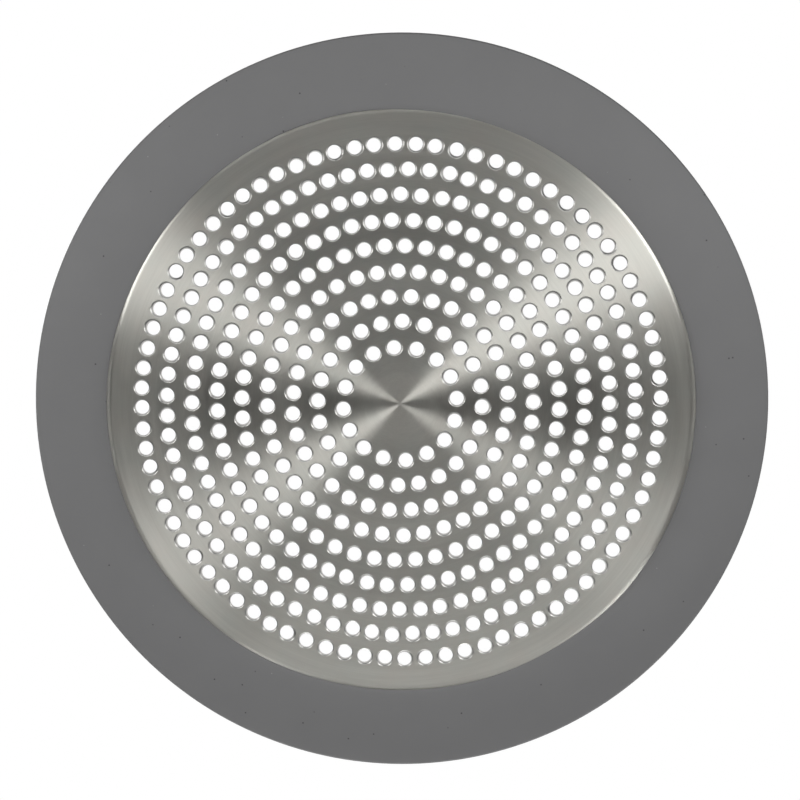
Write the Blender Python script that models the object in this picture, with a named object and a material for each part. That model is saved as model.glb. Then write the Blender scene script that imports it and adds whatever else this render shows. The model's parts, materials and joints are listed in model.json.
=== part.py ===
"""Shower drain strainer: a crowned, pierced steel plate whose rim is held in a moulded silicone ring.

Units are metres and +Z is up. The origin is the centre of the ring's foot, on the shower floor.
"""
import math

import bmesh
import bpy
from mathutils import Matrix, Vector

# The whole strainer
OUTSIDE_DIAMETER = 0.146      # silicone ring, lip to lip
PLATE_DIAMETER = 0.1156       # steel plate over its turned-down rim
RIM_HEIGHT = 0.0054           # top of the steel where it starts to turn down
CROWN_RISE = 0.0030           # rise of the plate's middle above its rim
CLEARANCE = 0.0003            # between the steel and the silicone round it

# The steel plate
SHEET_THICKNESS = 0.0008
BEND_INSIDE_RADIUS = 0.0004   # inside of the bend where the rim turns down
RIM_DEPTH = 0.0024            # from the top of the bend to the rim's lower edge

# The holes pierced in the plate
HOLE_DIAMETER = 0.0030
LEAST_WEB = 0.00098           # steel left between two holes of one row
ROW_WEB = 0.00197             # steel left between two rows
BLANK_CENTRE = 0.0193         # diameter of the middle that has no hole
BLANK_BAND = 0.0035           # least band without holes inside the bend
HOLE_GROUP = 8                # each row holds a whole number of groups of this many holes
FIRST_HOLE_ANGLE = math.radians(5.5)

# The silicone ring
SEAM_DROP = 0.0001            # edge of the silicone below the top of the bend
BACKING_WIDTH = 0.0025        # silicone that lies under the plate, inside the rim
EDGE_HEIGHT = 0.0033          # height of the ring's outer edge, before it is rounded
TOP_BULGE = 0.0005            # how far the ring's top swells above a straight slope
EDGE_ROUNDING = 0.0009
FOOT_CHAMFER = 0.0003
GRIP_GROOVES = 3              # shallow grooves round the foot
GRIP_WIDTH = 0.0010
GRIP_DEPTH = 0.0005

# How finely round shapes are cut into flats
ROUND_SIDES = 40
HOLE_SIDES = 6
MIDDLE_SIDES = 8
BEND_STEPS = 2
TOP_STEPS = 4
ROUNDING_STEPS = 3
SMOOTH_ANGLE = math.radians(40)
TINY = 1e-6                   # within this, two lengths are the same

# Sizes that follow from the ones above
PLATE_RADIUS = PLATE_DIAMETER / 2
BEND_RADIUS = BEND_INSIDE_RADIUS + SHEET_THICKNESS
BEND_START = PLATE_RADIUS - BEND_RADIUS
RING_RADIUS = OUTSIDE_DIAMETER / 2
RING_INSIDE = BEND_START - BACKING_WIDTH


def clear_scene():
    """Start from nothing."""
    for old in list(bpy.data.objects):
        bpy.data.objects.remove(old)


def finish_material(name, colour, roughness, metallic):
    """A plain surface of one colour."""
    material = bpy.data.materials.new(name)
    material.use_nodes = True
    surface = material.node_tree.nodes["Principled BSDF"]
    surface.inputs["Base Color"].default_value = (*colour, 1.0)
    surface.inputs["Roughness"].default_value = roughness
    surface.inputs["Metallic"].default_value = metallic
    return material


def brushed_steel():
    return finish_material("brushed_steel", (0.52, 0.51, 0.49), 0.32, 1.0)


def grey_silicone():
    return finish_material("grey_silicone", (0.17, 0.17, 0.17), 0.60, 0.0)


def add_object(name, mesh, material):
    """Turn a finished bmesh into a named object, shaded smooth with its real edges kept sharp."""
    data = bpy.data.meshes.new(name)
    mesh.to_mesh(data)
    mesh.free()
    data.materials.append(material)
    data.shade_smooth()
    data.set_sharp_from_angle(angle=SMOOTH_ANGLE)
    piece = bpy.data.objects.new(name, data)
    bpy.context.collection.objects.link(piece)
    return piece


def crown_height(radius):
    """Height of the plate's top face, a shallow bowl turned over, at a distance from the middle."""
    return RIM_HEIGHT + CROWN_RISE * (1 - (radius / BEND_START) ** 2)


def row_radii():
    """Radii of the rows of holes, from the blank middle out to the blank band."""
    radius = (BLANK_CENTRE + HOLE_DIAMETER) / 2
    last = BEND_START - BLANK_BAND - HOLE_DIAMETER / 2
    radii = []
    while radius <= last:
        radii.append(radius)
        radius += HOLE_DIAMETER + ROW_WEB
    return radii


def holes_in_row(radius):
    """As many holes as the row has room for, in whole groups."""
    room = math.tau * radius / (HOLE_DIAMETER + LEAST_WEB)
    return HOLE_GROUP * int(room / HOLE_GROUP)


def hole_places():
    """Where the holes are: one of every second row lies on one line, and the rows between are half a step on."""
    places = []
    for row, radius in enumerate(row_radii()):
        count = holes_in_row(radius)
        shift = 0.5 * (row % 2)
        for hole in range(count):
            angle = FIRST_HOLE_ANGLE + math.tau * (hole + shift) / count
            places.append(Matrix.Rotation(angle, 4, "Z") @ Matrix.Translation((radius, 0, 0)))
    return places


def hole_corner_radius():
    """Distance to the corners of a many-sided hole that passes as much water as the round one."""
    step = math.tau / HOLE_SIDES
    return HOLE_DIAMETER / 2 * math.sqrt(step / math.sin(step))


def pierce_and_crown(mesh):
    """The plate's top face up to the bend: a disc less its holes, raised into its crown."""
    bmesh.ops.create_circle(
        mesh, segments=MIDDLE_SIDES, radius=BLANK_CENTRE / 4, cap_ends=True, cap_tris=True)
    bmesh.ops.create_circle(mesh, segments=ROUND_SIDES, radius=BEND_START)
    corner_outwards = Matrix.Rotation(math.pi / 2, 4, "Z")
    for place in hole_places():
        bmesh.ops.create_circle(
            mesh, segments=HOLE_SIDES, radius=hole_corner_radius(), matrix=place @ corner_outwards)
    outlines = [edge for edge in mesh.edges if edge.is_wire or edge.is_boundary]
    bmesh.ops.triangle_fill(mesh, use_beauty=True, edges=outlines, normal=(0, 0, 1))
    for vert in mesh.verts:
        vert.co.z = crown_height(vert.co.xy.length)


def rim_profile():
    """Radius and height of each line round the rim, over the bend and down to the lower edge."""
    bend_centre = RIM_HEIGHT - BEND_RADIUS
    profile = []
    for step in range(1, BEND_STEPS + 1):
        turn = math.pi / 2 * step / BEND_STEPS
        profile.append((BEND_START + BEND_RADIUS * math.sin(turn), bend_centre + BEND_RADIUS * math.cos(turn)))
    profile.append((PLATE_RADIUS, RIM_HEIGHT - RIM_DEPTH))
    return profile


def turn_rim_down(mesh):
    """Carry the disc's outer edge round the bend and down."""
    half_way = (RING_INSIDE + BEND_START) / 2
    edge = [e for e in mesh.edges if e.is_boundary and e.verts[0].co.xy.length > half_way]
    for radius, height in rim_profile():
        extruded = bmesh.ops.extrude_edge_only(mesh, edges=edge)["geom"]
        for vert in (g for g in extruded if isinstance(g, bmesh.types.BMVert)):
            around = vert.co.xy.normalized() * radius
            vert.co = Vector((around.x, around.y, height))
        edge = [g for g in extruded if isinstance(g, bmesh.types.BMEdge)]


def make_strainer_plate():
    """Pierced, crowned sheet with its rim turned down, one sheet thickness thick."""
    mesh = bmesh.new()
    pierce_and_crown(mesh)
    turn_rim_down(mesh)
    bmesh.ops.recalc_face_normals(mesh, faces=mesh.faces)
    plate = add_object("strainer_plate", mesh, brushed_steel())
    sheet = plate.modifiers.new("sheet", "SOLIDIFY")
    sheet.thickness = SHEET_THICKNESS
    sheet.offset = -1
    sheet.use_even_offset = True
    sheet.use_quality_normals = True
    return plate


def grip_profile(foot_inside, foot_outside):
    """The shallow grooves round the foot, from the inside outwards."""
    pitch = (foot_outside - foot_inside) / (GRIP_GROOVES + 1)
    profile = []
    for groove in range(1, GRIP_GROOVES + 1):
        middle = foot_inside + groove * pitch
        near, far = middle - GRIP_WIDTH / 2, middle + GRIP_WIDTH / 2
        profile += [(near, 0), (near, GRIP_DEPTH), (far, GRIP_DEPTH), (far, 0)]
    return profile


def top_profile():
    """The ring's gently swelling top, from its outer edge in and up to the seam with the steel."""
    seam_radius = PLATE_RADIUS + CLEARANCE
    seam_height = RIM_HEIGHT - SEAM_DROP
    profile = []
    for step in range(TOP_STEPS + 1):
        along = step / TOP_STEPS
        slope = EDGE_HEIGHT + (seam_height - EDGE_HEIGHT) * along
        swell = 4 * TOP_BULGE * along * (1 - along)
        profile.append((RING_RADIUS + (seam_radius - RING_RADIUS) * along, slope + swell))
    return profile


def rim_groove_profile():
    """The groove that holds the plate's rim, and the backing under the plate, from the seam inwards."""
    outer_wall = PLATE_RADIUS + CLEARANCE
    inner_wall = PLATE_RADIUS - SHEET_THICKNESS - CLEARANCE
    floor = RIM_HEIGHT - RIM_DEPTH - CLEARANCE
    under_bend = RIM_HEIGHT - SHEET_THICKNESS - max(BEND_INSIDE_RADIUS, CLEARANCE)
    under_plate = crown_height(RING_INSIDE) - SHEET_THICKNESS - CLEARANCE
    return [(outer_wall, floor), (inner_wall, floor), (inner_wall, under_bend), (RING_INSIDE, under_plate)]


def ring_profile():
    """Cross-section of the silicone ring, anticlockwise from the inside of its foot."""
    profile = [(RING_INSIDE, 0)]
    profile += grip_profile(RING_INSIDE, RING_RADIUS)
    profile += [(RING_RADIUS, 0)]
    profile += top_profile()
    profile += rim_groove_profile()
    return profile


def bevel_outer_edge(mesh, height, width, steps):
    """Take the corner off the ring's outer edge at a height."""
    corner = [vert for vert in mesh.verts
              if abs(vert.co.z - height) < TINY and abs(vert.co.xy.length - RING_RADIUS) < TINY]
    round_it = [edge for edge in mesh.edges if edge.verts[0] in corner and edge.verts[1] in corner]
    bmesh.ops.bevel(
        mesh, geom=round_it, offset=width, segments=steps, profile=0.5, affect="EDGES",
        clamp_overlap=True, material=-1)


def make_silicone_ring():
    """Turn the cross-section once round, then round off its outer edge."""
    mesh = bmesh.new()
    corners = [mesh.verts.new((radius, 0, height)) for radius, height in ring_profile()]
    outline = [mesh.edges.new((corners[i - 1], corners[i])) for i in range(len(corners))]
    bmesh.ops.spin(
        mesh, geom=corners + outline, cent=(0, 0, 0), axis=(0, 0, 1), angle=math.tau,
        steps=ROUND_SIDES, use_merge=True)
    bmesh.ops.recalc_face_normals(mesh, faces=mesh.faces)
    bevel_outer_edge(mesh, EDGE_HEIGHT, EDGE_ROUNDING, ROUNDING_STEPS)
    bevel_outer_edge(mesh, 0, FOOT_CHAMFER, 1)
    return add_object("silicone_ring", mesh, grey_silicone())


def main():
    clear_scene()
    make_strainer_plate()
    make_silicone_ring()


main()
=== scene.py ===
"""Shower drain strainer: the looks of its pierced, brushed plate and of the silicone ring round it.

Units are metres and +Z is up. The photograph's right is +X and its top is +Y.
"""
import json
import math
import random

import bmesh
import bpy
from mathutils import Euler, Matrix, Vector, noise

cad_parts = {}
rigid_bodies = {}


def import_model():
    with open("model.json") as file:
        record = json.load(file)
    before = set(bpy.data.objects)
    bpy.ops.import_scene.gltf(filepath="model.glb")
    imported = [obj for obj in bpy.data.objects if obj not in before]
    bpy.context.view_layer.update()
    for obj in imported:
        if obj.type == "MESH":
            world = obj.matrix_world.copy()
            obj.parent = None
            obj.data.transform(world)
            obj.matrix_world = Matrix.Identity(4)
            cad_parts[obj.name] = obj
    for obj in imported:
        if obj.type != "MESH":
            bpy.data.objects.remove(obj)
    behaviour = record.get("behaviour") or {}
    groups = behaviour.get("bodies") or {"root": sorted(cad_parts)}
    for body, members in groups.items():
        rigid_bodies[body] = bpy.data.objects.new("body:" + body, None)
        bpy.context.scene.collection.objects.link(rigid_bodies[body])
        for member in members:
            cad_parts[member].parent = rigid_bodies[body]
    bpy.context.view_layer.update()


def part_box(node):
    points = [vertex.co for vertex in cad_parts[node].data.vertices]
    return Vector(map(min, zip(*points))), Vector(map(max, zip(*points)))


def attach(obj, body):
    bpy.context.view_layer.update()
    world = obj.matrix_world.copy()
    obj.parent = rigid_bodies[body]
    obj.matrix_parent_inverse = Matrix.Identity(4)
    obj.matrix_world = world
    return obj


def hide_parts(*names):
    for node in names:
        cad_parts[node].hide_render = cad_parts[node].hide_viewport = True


MM = 0.001
TINY = 0.001 * MM                # within this, two lengths are the same

# The camera: it looks down on the strainer, a little off its axis
CAMERA_DISTANCE = 440 * MM       # from the ring's widest line
WIDEST_LINE = 1.5 * MM           # height of that line above the floor
FRAME_WIDTH = 159.48 * MM        # what the picture's width takes in at that distance
TILT_ABOUT_X = math.radians(3.445)
TILT_ABOUT_Y = math.radians(-1.287)
OFF_CENTRE = Vector((0.165 * MM, -0.318 * MM, 0))
SENSOR_WIDTH = 36.0              # millimetres, as the camera's own setting has it

# The steel plate, as the part has it
CROWN_RISE = 3.0 * MM            # rise of the plate's middle above the start of the bend
SHEET = 0.8 * MM
RIM_DEPTH = 2.4 * MM             # from the top of the bend to the rim's lower edge
SEAT = 0.3 * MM                  # the sheet reaches this far into the gap that the part leaves round it
BEND = 1.2 * MM                  # outside radius of the bend
BEND_STEPS = 8
INNER_BEND_STEPS = 4
PLATE_SIDES = 240
PLATE_SHARP_FROM = math.radians(28)    # an edge that turns by more than this stays sharp
WIDER = 1.005                    # the plate is a little out of round: wider along X
LONGER = 1.001                   # than along Y

# The rows of holes, as the part has them
ROWS = 9
FIRST_ROW_RADIUS = 11.15 * MM
ROW_STEP = 4.97 * MM
LAST_ROW_RADIUS = FIRST_ROW_RADIUS + (ROWS - 1) * ROW_STEP
FIRST_ROW_HOLES = 16
HOLES_ADDED = 8                  # each row has this many more than the one inside it
FIRST_HOLE_ANGLE = math.radians(5.5)

# One hole: the punch drew the top in a little, cut a wall that leans, and broke out below
HOLE_SIDES = 22
HOLE_TOP = 1.75 * MM
HOLE_STEPS = (                   # radius, depth, share of the hole's lean, and how much painted shade darkens the wall there
    (1.70 * MM, 0.016 * MM, 0.0, 0.0),
    (1.51 * MM, 0.11 * MM, 0.1, 1.0),
    (1.35 * MM, SHEET, 1.0, 0.5),
)
LEAN = 0.10 * MM                 # usual lean of a wall, from its top to its bottom
MOST_LEAN = 0.17 * MM
TOP_DRIFT = 0.05 * MM            # usual drift of a hole from its exact place
MOST_DRIFT = 0.11 * MM
DRIFT_PATCH = 9 * MM             # holes within this of each other drift alike
PATCH_PULL = 1.5                 # weight of the drift they share, where a hole's own has 1
LEAST_LOOSENESS = 0.5            # in the middle; drift and lean grow from there out to the last row
SEED = 7

# The rings of faces that carry the plate's top inside the first row and outside the last one
MIDDLE_RINGS = (2.0 * MM, 5.0 * MM, 8.3 * MM)
MIDDLE_SIDES = 48
BAND_START = 53.6 * MM
BAND_RINGS = 4

# Where the steel is hazy: where the brush passed, towards the rim, and most on the rim towards -Y, where the
# extra haze is painted light that lightens that side
BRUSH_PASS = 20 * MM             # from one pass of the brush to the next
BRUSH_DIP = 13.8 * MM            # radius between two passes, where the haze is least
LAST_PASS = 43.8 * MM            # radius of the last pass, whose haze goes on to the rim
HAZY_RIM = 38 * MM               # from this radius out the haze grows
PAINTED_LIGHT_FROM = 10 * MM              # the rim's painted light grows from this line
PAINTED_LIGHT_TO = -20 * MM               # to this one, towards -Y
DULL_BEND = -32 * MM             # past this line the bend is as dull as the top

# How much haze each of these adds; haze is the share of the steel that doesn't mirror
PASS_HAZE = 0.04
BROAD_HAZE = 0.09                # the broad streaks, in the passes
RIM_HAZE = 0.5                   # of what a pass has
# painted light: the haze that lightens the rim towards -Y
PAINTED_LIGHT_HAZE = 0.12
FINE_HAZE = 0.12
GRAIN_HAZE = 0.26
DUST_HAZE = 0.35

# The brush's streaks: lumps to a radian round the rings and to a metre across them, and their roughness
BROAD_STREAKS = (1.6, 900.0, 0.6)
FINE_STREAKS = (7.0, 4200.0, 0.65)
ALONG_RINGS = 0.25               # of a turn, which lays the brushing along the rings
STEEL_ROUGHNESS = 0.40
BROAD_ROUGHNESS = 0.05           # added by the broad streaks
BEND_POLISH = 0.13               # taken off on the bend
CUT_ROUGHNESS = 0.37
STEEL_TONE = 0.82                # brightness of the steel's colour
BROAD_TONE = 0.20                # added by the broad streaks
FINE_TONE = 0.16                 # added by the fine ones

# Other patterns, in lumps to a metre, and how deep they are
STEEL_CLOUDS = 160.0
STEEL_GRAIN = 2600.0
STEEL_WAVES = 45.0
WAVE_DEPTH = 0.06 * MM
SCRATCH_DEPTH = 0.006 * MM
SILICONE_CLOUDS = 120.0
SILICONE_GRAIN = 2600.0
SILICONE_GRAIN_DEPTH = 0.004 * MM

# Specks: cells to a metre, how far from its middle a speck has faded out, and the share of cells with one
DUST = (600.0, 0.11 * MM, 0.3)
LIGHT_SPECKS = (300.0, 0.16 * MM, 0.3)
DARK_SPECKS = (340.0, 0.22 * MM, 0.5)

# Colours
WARM_STEEL = (0.592, 0.561, 0.513, 1)
GREEN_STEEL = (0.566, 0.580, 0.538, 1)
DRAWN_EDGE = (0.64, 0.63, 0.61, 1)
# painted shade: the dark that a hole's wall shows under its drawn edge
CUT_WALL_PAINTED_SHADE = (0.22, 0.22, 0.21, 1)
DARKER_SILICONE = (0.160, 0.160, 0.162, 1)
LIGHTER_SILICONE = (0.175, 0.175, 0.176, 1)
LIGHT_SPECK = (0.26, 0.26, 0.26, 1)
DARK_SPECK = (0.05, 0.05, 0.05, 1)
WHITE = (1, 1, 1, 1)
BLACK = (0, 0, 0, 1)

# The silicone ring
FOOT_INSIDE = 54.1 * MM
EDGE_DRAFT = 0.2 * MM            # the outer wall leans in by this much above its widest line
EDGE_MIDDLE = 2.75 * MM          # where the outer edge starts to turn in
EDGE_ROUNDING = 0.55 * MM
EDGE_TURN = math.radians(74)     # the rounding turns this far before the top takes over
EDGE_STEPS = 7
TOP_BULGE = 0.5 * MM
LIP_WIDTH = 1.2 * MM             # next to the seam the silicone dips towards the steel
LIP_DIP = 0.12 * MM
LIP_STEPS = 4
LIP_EDGE = 0.04 * MM             # thickness of the silicone where it runs out on the bend
TOUCH = 0.02 * MM                # between the silicone and the steel it grips
LAPS = (                         # direction in degrees, and how far the silicone laps over the bend there
    (0, 0.05 * MM), (30, 0.5 * MM), (70, 0.72 * MM), (105, 0.35 * MM), (150, 0.62 * MM), (182, 0.05 * MM),
    (225, 0.07 * MM), (265, 0.85 * MM), (298, 0.7 * MM), (325, 0.02 * MM), (360, 0.05 * MM),
)
LAP_UNEVENNESS = 0.05 * MM
LAP_LUMPS = 7                    # to a radian round the seam
RING_SIDES = 240
RING_SHARP_FROM = math.radians(40)
TOP_STEPS = 20
WALL_STEPS = 4
GRIP_GROOVES = 3
GRIP_WIDTH = 1.0 * MM
GRIP_DEPTH = 0.5 * MM
FOOT_CHAMFER = 0.3 * MM
SILICONE_ROUGHNESS = 0.46
SILICONE_GLOSS = 0.3

# The lights: azimuth and elevation in degrees, distance, width and height in metres, the brightness of the
# light's face, and the looks that it is kept out of
MATT_LOOK = "visible_diffuse"
MIRROR_LOOK = "visible_glossy"
LIGHTS = (
    ("right_softbox", 30, 55, 1.2, 0.31, 0.9, 4.9, None),
    ("left_softbox", 157.5, 48, 1.2, 0.28, 0.9, 4.1, None),
    ("front_fill", 281, 6, 1.4, 2.5, 0.28, 17.0, MATT_LOOK),
    ("back_strip", 95, 42, 1.4, 1.6, 0.2, 3.1, MATT_LOOK),
    ("overhead", 0, 90, 1.2, 1.0, 1.0, 1.8, MIRROR_LOOK),
    ("low_fill", 15, 12, 1.4, 1.2, 0.35, 5.0, MIRROR_LOOK),
    ("low_fill", 185, 12, 1.4, 1.2, 0.35, 7.0, MIRROR_LOOK),
    ("side_strip", 0, 10, 1.4, 0.7, 0.14, 1.7, None),
    ("side_strip", 182, 10, 1.4, 0.7, 0.14, 1.7, None),
)
WORLD_STRENGTH = 0.03

# The white floor
FLOOR_REACH = 4.0                # from its middle to its sides
FLOOR_DROP = 0.05 * MM           # below the strainer's foot
INNER_FLOOR_DROP = 0.04 * MM     # of the disc that the steel mirrors, inside the ring
INNER_FLOOR_SIDES = 64


def clear_scene():
    """Start from nothing."""
    for old in list(bpy.data.objects):
        bpy.data.objects.remove(old)


class Value:
    """A socket that can be added, taken away and multiplied like a number."""

    def __init__(self, finish, socket):
        self.finish = finish
        self.socket = socket

    def __add__(self, other):
        return self.finish.math("ADD", self, other)

    def __sub__(self, other):
        return self.finish.math("SUBTRACT", self, other)

    def __rsub__(self, other):
        return self.finish.math("SUBTRACT", other, self)

    def __mul__(self, other):
        return self.finish.math("MULTIPLY", self, other)

    __radd__ = __add__
    __rmul__ = __mul__

    def scaled(self, size):
        """A colour or a vector made so many times as long."""
        return self.finish.node("ShaderNodeVectorMath", {"operation": "SCALE"}, {0: self, "Scale": size})


class Finish:
    """A material while it is being made."""

    def __init__(self, name):
        self.material = bpy.data.materials.new(name)
        self.material.use_nodes = True
        self.tree = self.material.node_tree
        self.tree.nodes.remove(self.tree.nodes["Principled BSDF"])

    def feed(self, socket, value):
        """Link a value to a socket, or set a number or a colour on it."""
        if isinstance(value, Value):
            self.tree.links.new(value.socket, socket)
        else:
            socket.default_value = value

    def node(self, kind, settings, inputs, output=0):
        """Add a node: its settings first, then the values or links of its sockets."""
        made = self.tree.nodes.new(kind)
        for name, setting in settings.items():
            setattr(made, name, setting)
        for name, value in inputs.items():
            self.feed(made.inputs[name], value)
        return Value(self, made.outputs[output])

    def math(self, operation, first, second=0.0):
        return self.node("ShaderNodeMath", {"operation": operation}, {0: first, 1: second})

    def vector(self, operation, first, second, output=0):
        return self.node("ShaderNodeVectorMath", {"operation": operation}, {0: first, 1: second}, output)

    def place(self):
        """Where a point lies in the object's own space."""
        return self.node("ShaderNodeTexCoord", {}, {}, "Object")

    def flat_place(self):
        """Where a point lies as seen from above."""
        return self.vector("MULTIPLY", self.place(), (1, 1, 0))

    def length(self, vector):
        return self.vector("LENGTH", vector, (0, 0, 0), "Value")

    def attribute(self, name):
        """A number that each point of the mesh carries."""
        return self.node("ShaderNodeAttribute", {"attribute_name": name}, {}, "Fac")

    def noise(self, at, scale, detail=2.0, roughness=0.5):
        """Soft noise about 0.5 at a place, with so many lumps to a metre."""
        inputs = {"Vector": at, "Scale": scale, "Detail": detail, "Roughness": roughness}
        return self.node("ShaderNodeTexNoise", {}, inputs)

    def span(self, value, low, high):
        """How far a value is from low to high, with nothing past either."""
        return self.node(
            "ShaderNodeMapRange", {"clamp": True}, {"Value": value, "From Min": low, "From Max": high})

    def mix(self, share, first, second):
        """Blend two colours."""
        return self.node(
            "ShaderNodeMix", {"data_type": "RGBA"}, {"Factor": share, 6: first, 7: second}, 2)

    def specks(self, cells, reach, share):
        """Tiny round specks, each inside a cell of its own, in a share of the cells."""
        settings = {"voronoi_dimensions": "3D", "feature": "F1"}
        inputs = {"Vector": self.place(), "Scale": cells, "Randomness": 1.0}
        distance = self.node("ShaderNodeTexVoronoi", settings, inputs, "Distance")
        colour = self.node("ShaderNodeTexVoronoi", settings, inputs, "Color")
        pick = self.node("ShaderNodeSeparateColor", {}, {"Color": colour})
        speck = self.span(distance, reach * cells, reach * cells / 2)
        return speck * self.math("LESS_THAN", pick, share)

    def bump(self, height, depth, under=None):
        """Raise the surface by a height from 0 to 1 times a depth, over the bumps under it."""
        inputs = {"Height": height, "Distance": depth, "Strength": 1.0}
        if under:
            inputs["Normal"] = under
        return self.node("ShaderNodeBump", {}, inputs)

    def surface(self, **values):
        """A Principled surface with its values: Base_Color stands for the socket Base Color."""
        return self.node(
            "ShaderNodeBsdfPrincipled", {}, {name.replace("_", " "): value for name, value in values.items()})

    def cover(self, surface):
        """Make a surface the material's own, and give the material."""
        self.feed(self.tree.nodes["Material Output"].inputs["Surface"], surface)
        return self.material


def streaks(finish, along, across, roughness):
    """Noise that runs in rings: slow round the middle and quick away from it."""
    flat = finish.flat_place()
    direction = finish.vector("NORMALIZE", flat, (0, 0, 0))
    round_it = finish.vector("MULTIPLY", direction, (along, along, 0))
    outwards = finish.node("ShaderNodeCombineXYZ", {}, {"Z": finish.length(flat) * across})
    return finish.noise(finish.vector("ADD", round_it, outwards), 1.0, detail=3.0, roughness=roughness)


def steel_haze(finish, plate, radius, upwards, broad, fine):
    """How much of the steel doesn't mirror."""
    along_passes = (finish.math("MINIMUM", radius, LAST_PASS) - BRUSH_DIP) * (math.tau / BRUSH_PASS)
    passes = 0.5 - 0.5 * finish.math("COSINE", along_passes)
    rim = finish.span(radius, HAZY_RIM, plate.radius)
    # Painted light: more haze near the rim towards -Y lightens the steel on that side, as light from the
    # front would
    painted_light = finish.span(upwards, PAINTED_LIGHT_FROM, PAINTED_LIGHT_TO) * rim
    grain = finish.noise(finish.place(), STEEL_GRAIN, detail=1.0, roughness=0.7)
    haze = (passes + rim * RIM_HAZE) * (PASS_HAZE + BROAD_HAZE * broad) + PAINTED_LIGHT_HAZE * painted_light
    return haze + FINE_HAZE * (fine - 0.5) + GRAIN_HAZE * (grain - 0.5) + DUST_HAZE * finish.specks(*DUST)


def cut_steel(finish):
    """The holes' walls: light where the punch drew the edge in, and darkened below it by painted shade."""
    dark = finish.attribute("dark")
    colour = finish.mix(dark * dark * dark, DRAWN_EDGE, CUT_WALL_PAINTED_SHADE)
    return finish.surface(Base_Color=colour, Metallic=1.0, Roughness=CUT_ROUGHNESS)


def brushed_steel(plate):
    """Stainless steel brushed in rings: it is bright where the rings run square to a light."""
    finish = Finish("brushed_steel")
    radius = finish.length(finish.flat_place())
    upwards = finish.node("ShaderNodeSeparateXYZ", {}, {"Vector": finish.place()}, "Y")
    broad = streaks(finish, *BROAD_STREAKS)
    fine = streaks(finish, *FINE_STREAKS)
    haze = steel_haze(finish, plate, radius, upwards, broad, fine)
    bend = finish.span(radius, plate.bend_start, plate.bend_start + BEND / 2)
    polished = bend * finish.span(upwards, DULL_BEND, PAINTED_LIGHT_TO)
    cloud = finish.noise(finish.place(), STEEL_CLOUDS, detail=3.0)
    tone = STEEL_TONE + BROAD_TONE * broad + FINE_TONE * fine
    waves = finish.bump(finish.noise(finish.place(), STEEL_WAVES), WAVE_DEPTH)
    brushed = finish.surface(
        Base_Color=finish.mix(cloud, WARM_STEEL, GREEN_STEEL).scaled(tone),
        Metallic=1 - haze,
        Roughness=STEEL_ROUGHNESS + BROAD_ROUGHNESS * broad - BEND_POLISH * polished,
        Anisotropic=1.0,
        Anisotropic_Rotation=ALONG_RINGS,
        Normal=finish.bump(fine, SCRATCH_DEPTH, waves))
    share = finish.attribute("cut")
    return finish.cover(finish.node("ShaderNodeMixShader", {}, {0: share, 1: brushed, 2: cut_steel(finish)}))


def grey_silicone():
    """Smooth matt silicone with a few specks in it."""
    finish = Finish("grey_silicone")
    cloud = finish.noise(finish.place(), SILICONE_CLOUDS, detail=3.0)
    clouded = finish.mix(cloud, DARKER_SILICONE, LIGHTER_SILICONE)
    lighter = finish.mix(finish.specks(*LIGHT_SPECKS), clouded, LIGHT_SPECK)
    spotted = finish.mix(finish.specks(*DARK_SPECKS), lighter, DARK_SPECK)
    grain = finish.noise(finish.place(), SILICONE_GRAIN)
    return finish.cover(finish.surface(
        Base_Color=spotted, Roughness=SILICONE_ROUGHNESS, Specular_IOR_Level=SILICONE_GLOSS,
        Normal=finish.bump(grain, SILICONE_GRAIN_DEPTH)))


def plain_white(name):
    """A white that glows by itself and takes no light or shadow."""
    finish = Finish(name)
    return finish.cover(finish.surface(
        Base_Color=BLACK, Specular_IOR_Level=0.0, Roughness=1.0, Emission_Color=WHITE, Emission_Strength=1.0))


def add_object(name, mesh, material):
    """Turn a finished bmesh into a named object."""
    data = bpy.data.meshes.new(name)
    mesh.to_mesh(data)
    mesh.free()
    data.materials.append(material)
    added = bpy.data.objects.new(name, data)
    bpy.context.collection.objects.link(added)
    return added


def add_piece(name, mesh, material, sharp_from):
    """Add a piece that is shaded smooth, with its real edges kept sharp."""
    piece = add_object(name, mesh, material)
    piece.data.shade_smooth()
    piece.data.set_sharp_from_angle(angle=sharp_from)
    return piece


class Plate:
    """Sizes of the steel plate that follow from the frame's box round it."""

    def __init__(self):
        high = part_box("strainer_plate")[1]
        self.radius = high.x + SEAT
        self.rim_height = high.z - CROWN_RISE
        self.bend_start = self.radius - BEND

    def height(self, radius):
        """Height of the crowned top at a distance from the middle."""
        return self.rim_height + CROWN_RISE * (1 - (radius / self.bend_start) ** 2)

    def normal(self, place):
        """Which way the crowned top faces at a place."""
        slope = 2 * CROWN_RISE / self.bend_start ** 2
        return Vector((place.x * slope, place.y * slope, 1)).normalized()

    def edge_angle(self):
        """Slope of the top where the bend takes over."""
        return math.atan(2 * CROWN_RISE / self.bend_start)

    def bend_point(self, turn, away=0.0):
        """Radius and height of the bend where its face has turned so far, or of a line away from it."""
        reach = BEND + away
        return self.bend_start + reach * math.sin(turn), self.rim_height - BEND + reach * math.cos(turn)

    def stretch(self, angle):
        """How much the plate is out of round in a direction."""
        return math.hypot(WIDER * math.cos(angle), LONGER * math.sin(angle))


class Hole:
    """One hole: its middle at the top and how far its wall leans by the bottom."""

    def __init__(self, angle, radius, chance):
        place = Vector((radius * math.cos(angle), radius * math.sin(angle)))
        patch = noise.noise_vector(place.to_3d() / DRIFT_PATCH)
        looseness = LEAST_LOOSENESS + radius / LAST_ROW_RADIUS
        drift = Vector((chance.gauss(0, 1), chance.gauss(0, 1))) + PATCH_PULL * patch.xy
        drift *= TOP_DRIFT * looseness
        if drift.length > MOST_DRIFT:
            drift *= MOST_DRIFT / drift.length
        self.middle = place + drift
        self.lean = Vector((chance.gauss(0, 1), chance.gauss(0, 1))) * LEAN * looseness
        if self.lean.length > MOST_LEAN:
            self.lean *= MOST_LEAN / self.lean.length


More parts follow.
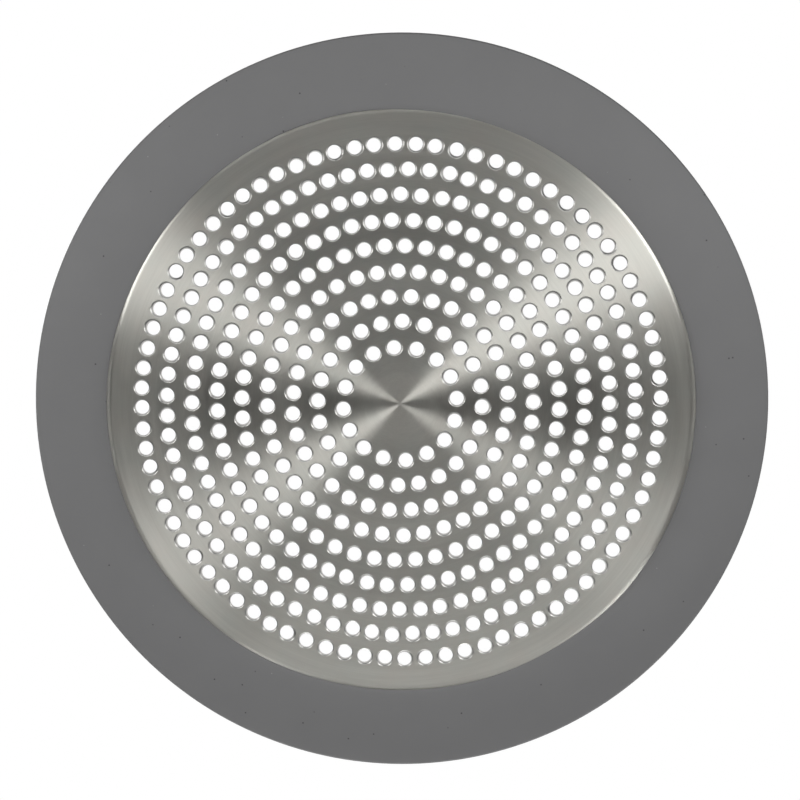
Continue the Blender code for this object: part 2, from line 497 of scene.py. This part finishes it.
def make_holes():
    """All the holes, row by row and the same each run; every second row starts half a step on."""
    chance = random.Random(SEED)
    noise.seed_set(SEED)
    holes = []
    for row in range(ROWS):
        count = FIRST_ROW_HOLES + HOLES_ADDED * row
        shift = 0.5 * (row % 2)
        for step in range(count):
            angle = FIRST_HOLE_ANGLE + math.tau * (step + shift) / count
            holes.append(Hole(angle, FIRST_ROW_RADIUS + ROW_STEP * row, chance))
    return holes


def new_verts(result):
    return [part for part in result["geom"] if isinstance(part, bmesh.types.BMVert)]


def new_edges(result):
    return [part for part in result["geom"] if isinstance(part, bmesh.types.BMEdge)]


def circle_edges(circle):
    """The edges of a new circle, each once and in the same order each run."""
    return list(dict.fromkeys(edge for vert in circle["verts"] for edge in vert.link_edges))


def ring_circle(mesh, radius, height):
    """A plain ring of edges round the plate."""
    circle = bmesh.ops.create_circle(
        mesh, segments=PLATE_SIDES, radius=radius, matrix=Matrix.Translation((0, 0, height)))
    return circle_edges(circle)


def ring_out(mesh, edges, radius, height):
    """Extrude a ring of edges to another radius and height, and give the new ring."""
    result = bmesh.ops.extrude_edge_only(mesh, edges=edges)
    for vert in new_verts(result):
        vert.co.xy = vert.co.xy.normalized() * radius
        vert.co.z = height
    return new_edges(result)


def middle_disc(mesh, plate, drop):
    """The disc inside the first row of holes, lying so far under the top."""
    disc = bmesh.ops.create_circle(
        mesh, segments=MIDDLE_SIDES, radius=MIDDLE_RINGS[0], cap_ends=True, cap_tris=True)
    for vert in disc["verts"]:
        vert.co.z = plate.height(vert.co.xy.length) - drop
    edges = [edge for edge in circle_edges(disc) if edge.is_boundary]
    for radius in MIDDLE_RINGS[1:]:
        edges = ring_out(mesh, edges, radius, plate.height(radius) - drop)
    return edges


def outline_holes(mesh, plate, holes):
    """The round outlines of the holes in the top, each point marked with its hole and its turn."""
    number = mesh.verts.layers.int.new("hole")
    turn = mesh.verts.layers.float.new("turn")
    edges = []
    for index, hole in enumerate(holes):
        circle = bmesh.ops.create_circle(
            mesh, segments=HOLE_SIDES, radius=HOLE_TOP, matrix=Matrix.Translation(hole.middle.to_3d()))
        for vert in circle["verts"]:
            out = vert.co.xy - hole.middle
            vert[number] = index
            vert[turn] = math.atan2(out.y, out.x)
            vert.co.z = plate.height(vert.co.xy.length)
        edges += circle_edges(circle)
    return edges


def fill_between(mesh, edges):
    bmesh.ops.triangle_fill(mesh, use_beauty=True, edges=edges, normal=(0, 0, 1))


def sink_holes(mesh, plate, holes, edges):
    """Carry the outlines down through the sheet."""
    number = mesh.verts.layers.int["hole"]
    turn = mesh.verts.layers.float["turn"]
    cut = mesh.verts.layers.float.new("cut")
    dark = mesh.verts.layers.float.new("dark")
    for radius, depth, share, darkness in HOLE_STEPS:
        result = bmesh.ops.extrude_edge_only(mesh, edges=edges)
        for vert in new_verts(result):
            hole = holes[vert[number]]
            middle = hole.middle + hole.lean * share
            vert.co.x = middle.x + radius * math.cos(vert[turn])
            vert.co.y = middle.y + radius * math.sin(vert[turn])
            vert.co.z = plate.height(vert.co.xy.length) - depth
            vert[cut] = 1.0
            # how much painted shade the hole's wall gets at this step
            vert[dark] = darkness
        edges = new_edges(result)
    return edges


def bend_rim(mesh, plate, edges):
    """Carry the top out to the bend, down the rim, and back up inside to the band's lower side."""
    for step in range(1, BAND_RINGS + 1):
        radius = BAND_START + (plate.bend_start - BAND_START) * step / BAND_RINGS
        edges = ring_out(mesh, edges, radius, plate.height(radius))
    start = plate.edge_angle()
    for step in range(1, BEND_STEPS + 1):
        turn = start + (math.pi / 2 - start) * step / BEND_STEPS
        edges = ring_out(mesh, edges, *plate.bend_point(turn))
    low = plate.rim_height - RIM_DEPTH
    edges = ring_out(mesh, edges, plate.radius, low)
    edges = ring_out(mesh, edges, plate.radius - SHEET, low)
    for step in range(INNER_BEND_STEPS + 1):
        turn = math.pi / 2 * (1 - step / INNER_BEND_STEPS)
        edges = ring_out(mesh, edges, *plate.bend_point(turn, -SHEET))
    return ring_out(mesh, edges, BAND_START, plate.height(BAND_START) - SHEET)


def crown_normals(piece, plate):
    """Let the top's corners face exactly as the crown does, so that no facet shows in the brushing."""
    data = piece.data
    facing = []
    for vert in data.vertices:
        radius = math.hypot(vert.co.x / WIDER, vert.co.y / LONGER)
        on_top = radius <= plate.bend_start + TINY and abs(vert.co.z - plate.height(radius)) < TINY
        facing.append(plate.normal(vert.co) if on_top else Vector((0, 0, 0)))
    data.normals_split_custom_set([facing[loop.vertex_index] for loop in data.loops])


def pierced_plate():
    """Crowned sheet with its holes and its turned-down rim."""
    plate = Plate()
    holes = make_holes()
    mesh = bmesh.new()
    hole_edges = outline_holes(mesh, plate, holes)
    inner = middle_disc(mesh, plate, 0)
    outer = ring_circle(mesh, BAND_START, plate.height(BAND_START))
    fill_between(mesh, hole_edges + inner + outer)
    lower_inner = middle_disc(mesh, plate, SHEET)
    lower_holes = sink_holes(mesh, plate, holes, hole_edges)
    lower_outer = bend_rim(mesh, plate, outer)
    fill_between(mesh, lower_holes + lower_inner + lower_outer)
    for vert in mesh.verts:
        vert.co.x *= WIDER
        vert.co.y *= LONGER
    bmesh.ops.recalc_face_normals(mesh, faces=mesh.faces)
    piece = add_piece("pierced_plate", mesh, brushed_steel(plate), PLATE_SHARP_FROM)
    crown_normals(piece, plate)
    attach(piece, "root")
    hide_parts("strainer_plate")


def lap_over_bend(angle):
    """How far the silicone laps over the bend in a direction."""
    degrees = math.degrees(angle) % 360
    for (start, first), (end, second) in zip(LAPS, LAPS[1:]):
        if start <= degrees <= end:
            share = (degrees - start) / (end - start)
            lap = first + (second - first) * share * share * (3 - 2 * share)
    at_seam = Vector((math.cos(angle), math.sin(angle), 0)) * LAP_LUMPS
    return max(lap + noise.noise(at_seam) * LAP_UNEVENNESS, 0)


def foot_profile(outside):
    """The foot from its inside outwards, with its grip grooves."""
    profile = [(FOOT_INSIDE, 0)]
    pitch = (outside - FOOT_INSIDE) / (GRIP_GROOVES + 1)
    for groove in range(1, GRIP_GROOVES + 1):
        middle = FOOT_INSIDE + groove * pitch
        near, far = middle - GRIP_WIDTH / 2, middle + GRIP_WIDTH / 2
        profile += [(near, 0), (near, GRIP_DEPTH), (far, GRIP_DEPTH), (far, 0)]
    return profile + [(outside - FOOT_CHAMFER, 0), (outside, FOOT_CHAMFER)]


def edge_profile(outside):
    """The outer edge, up its wall and round towards the top."""
    profile = [(outside, WIDEST_LINE)]
    for step in range(EDGE_STEPS + 1):
        turn = EDGE_TURN * step / EDGE_STEPS
        rounded = outside - EDGE_DRAFT - EDGE_ROUNDING * (1 - math.cos(turn))
        profile.append((rounded, EDGE_MIDDLE + EDGE_ROUNDING * math.sin(turn)))
    return profile


def top_profile(start, edge_height, seam, seam_height):
    """The swelling top from the outer edge in, and the lip that dips to the seam."""
    top = seam_height + LIP_DIP
    profile = []
    for step in range(1, TOP_STEPS + 1):
        along = step / TOP_STEPS
        height = edge_height + (top - edge_height) * along + 4 * TOP_BULGE * along * (1 - along)
        profile.append((start + (seam + LIP_WIDTH - start) * along, height))
    for step in range(1, LIP_STEPS + 1):
        along = step / LIP_STEPS
        profile.append((seam + LIP_WIDTH * (1 - along), top - LIP_DIP * along * along))
    return profile


def grip_profile(plate, seam_turn):
    """The groove that grips the rim, from the seam down and up again to under the bend."""
    profile = []
    for step in range(WALL_STEPS + 1):
        turn = seam_turn + (math.pi / 2 - seam_turn) * step / WALL_STEPS
        profile.append(plate.bend_point(turn, TOUCH))
    floor = plate.rim_height - RIM_DEPTH - TOUCH
    inner_wall = plate.radius - SHEET - TOUCH
    return profile + [
        (plate.radius + TOUCH, floor),
        (inner_wall, floor),
        (inner_wall, plate.rim_height - BEND),
        (plate.bend_start, plate.rim_height - SHEET - TOUCH),
    ]


def ring_profile(plate, outside, angle):
    """Cross-section of the silicone ring in a direction, from inside its foot out and back over the top."""
    stretch = plate.stretch(angle)
    seam_turn = math.asin(1 - lap_over_bend(angle) / BEND)
    seam, seam_height = plate.bend_point(seam_turn, TOUCH + LIP_EDGE)
    profile = foot_profile(outside) + edge_profile(outside)
    profile += top_profile(*profile[-1], seam * stretch, seam_height)
    profile += [(radius * stretch, height) for radius, height in grip_profile(plate, seam_turn)]
    return profile + [(FOOT_INSIDE, plate.height(FOOT_INSIDE) - SHEET - TOUCH)]


def moulded_ring():
    """Silicone ring: its cross-section turned once round, then fitted to the plate's rim all the way."""
    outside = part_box("silicone_ring")[1].x
    plate = Plate()
    mesh = bmesh.new()
    point = mesh.verts.layers.int.new("point")
    corners = [mesh.verts.new((radius, 0, height)) for radius, height in ring_profile(plate, outside, 0)]
    for index, corner in enumerate(corners):
        corner[point] = index
    outline = [mesh.edges.new((corners[i - 1], corners[i])) for i in range(len(corners))]
    bmesh.ops.spin(
        mesh, geom=corners + outline, cent=(0, 0, 0), axis=(0, 0, 1), angle=math.tau,
        steps=RING_SIDES, use_merge=True)
    bmesh.ops.recalc_face_normals(mesh, faces=mesh.faces)
    profiles = [ring_profile(plate, outside, math.tau * side / RING_SIDES) for side in range(RING_SIDES)]
    for vert in mesh.verts:
        side = round(math.atan2(vert.co.y, vert.co.x) / math.tau * RING_SIDES) % RING_SIDES
        radius, height = profiles[side][vert[point]]
        vert.co = (*(vert.co.xy.normalized() * radius), height)
    piece = add_piece("moulded_ring", mesh, grey_silicone(), RING_SHARP_FROM)
    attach(piece, "root")
    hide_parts("silicone_ring")


def add_camera():
    """The photograph's view: from above, with the strainer turned a little about X and then Y."""
    turned = Euler((TILT_ABOUT_X, 0, 0)).to_matrix()
    turned = Euler((0, TILT_ABOUT_Y, 0)).to_matrix() @ turned
    back = turned.transposed()
    data = bpy.data.cameras.new("camera")
    data.sensor_fit = "HORIZONTAL"
    data.sensor_width = SENSOR_WIDTH
    data.lens = SENSOR_WIDTH * CAMERA_DISTANCE / FRAME_WIDTH
    camera = bpy.data.objects.new("camera", data)
    place = back @ (Vector((0, 0, CAMERA_DISTANCE)) - OFF_CENTRE) + Vector((0, 0, WIDEST_LINE))
    camera.matrix_world = Matrix.Translation(place) @ back.to_4x4()
    bpy.context.collection.objects.link(camera)
    bpy.context.scene.camera = camera


def add_softbox(name, azimuth, elevation, distance, width, height, radiance):
    """A soft light that faces the strainer from a direction, as bright as its radiance says."""
    data = bpy.data.lights.new(name, "AREA")
    data.shape = "RECTANGLE"
    data.size = width
    data.size_y = height
    data.energy = radiance * math.pi * width * height
    light = bpy.data.objects.new(name, data)
    azimuth, elevation = math.radians(azimuth), math.radians(elevation)
    level = math.cos(elevation)
    away = Vector((level * math.cos(azimuth), level * math.sin(azimuth), math.sin(elevation)))
    light.location = away * distance
    light.rotation_euler = away.to_track_quat("Z", "Y").to_euler()
    bpy.context.collection.objects.link(light)
    return light


def add_lights():
    """Tall softboxes and strips to both sides, a strip behind, low fills round it and a light overhead."""
    for *softbox, kept_out_of in LIGHTS:
        light = add_softbox(*softbox)
        if kept_out_of:
            setattr(light, kept_out_of, False)


def white_sheet(name, mesh, drop):
    """A plain white sheet a little under the strainer's foot."""
    sheet = add_object(name, mesh, plain_white(name))
    sheet.location.z = -drop
    sheet.visible_diffuse = False
    return sheet


def add_floor_and_world():
    """A plain white floor, with a disc of it that the steel mirrors, and faint light all round."""
    wide = bmesh.new()
    bmesh.ops.create_grid(wide, x_segments=1, y_segments=1, size=FLOOR_REACH)
    floor = white_sheet("floor", wide, FLOOR_DROP)
    floor.visible_glossy = False
    inside = bmesh.new()
    bmesh.ops.create_circle(inside, segments=INNER_FLOOR_SIDES, radius=FOOT_INSIDE, cap_ends=True)
    white_sheet("floor_inside_ring", inside, INNER_FLOOR_DROP)
    world = bpy.data.worlds.new("studio")
    world.use_nodes = True
    background = world.node_tree.nodes["Background"]
    background.inputs["Color"].default_value = WHITE
    background.inputs["Strength"].default_value = WORLD_STRENGTH
    bpy.context.scene.world = world
    bpy.context.scene.view_settings.view_transform = "Standard"


clear_scene()
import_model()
add_camera()
add_floor_and_world()
add_lights()
pierced_plate()
moulded_ring()
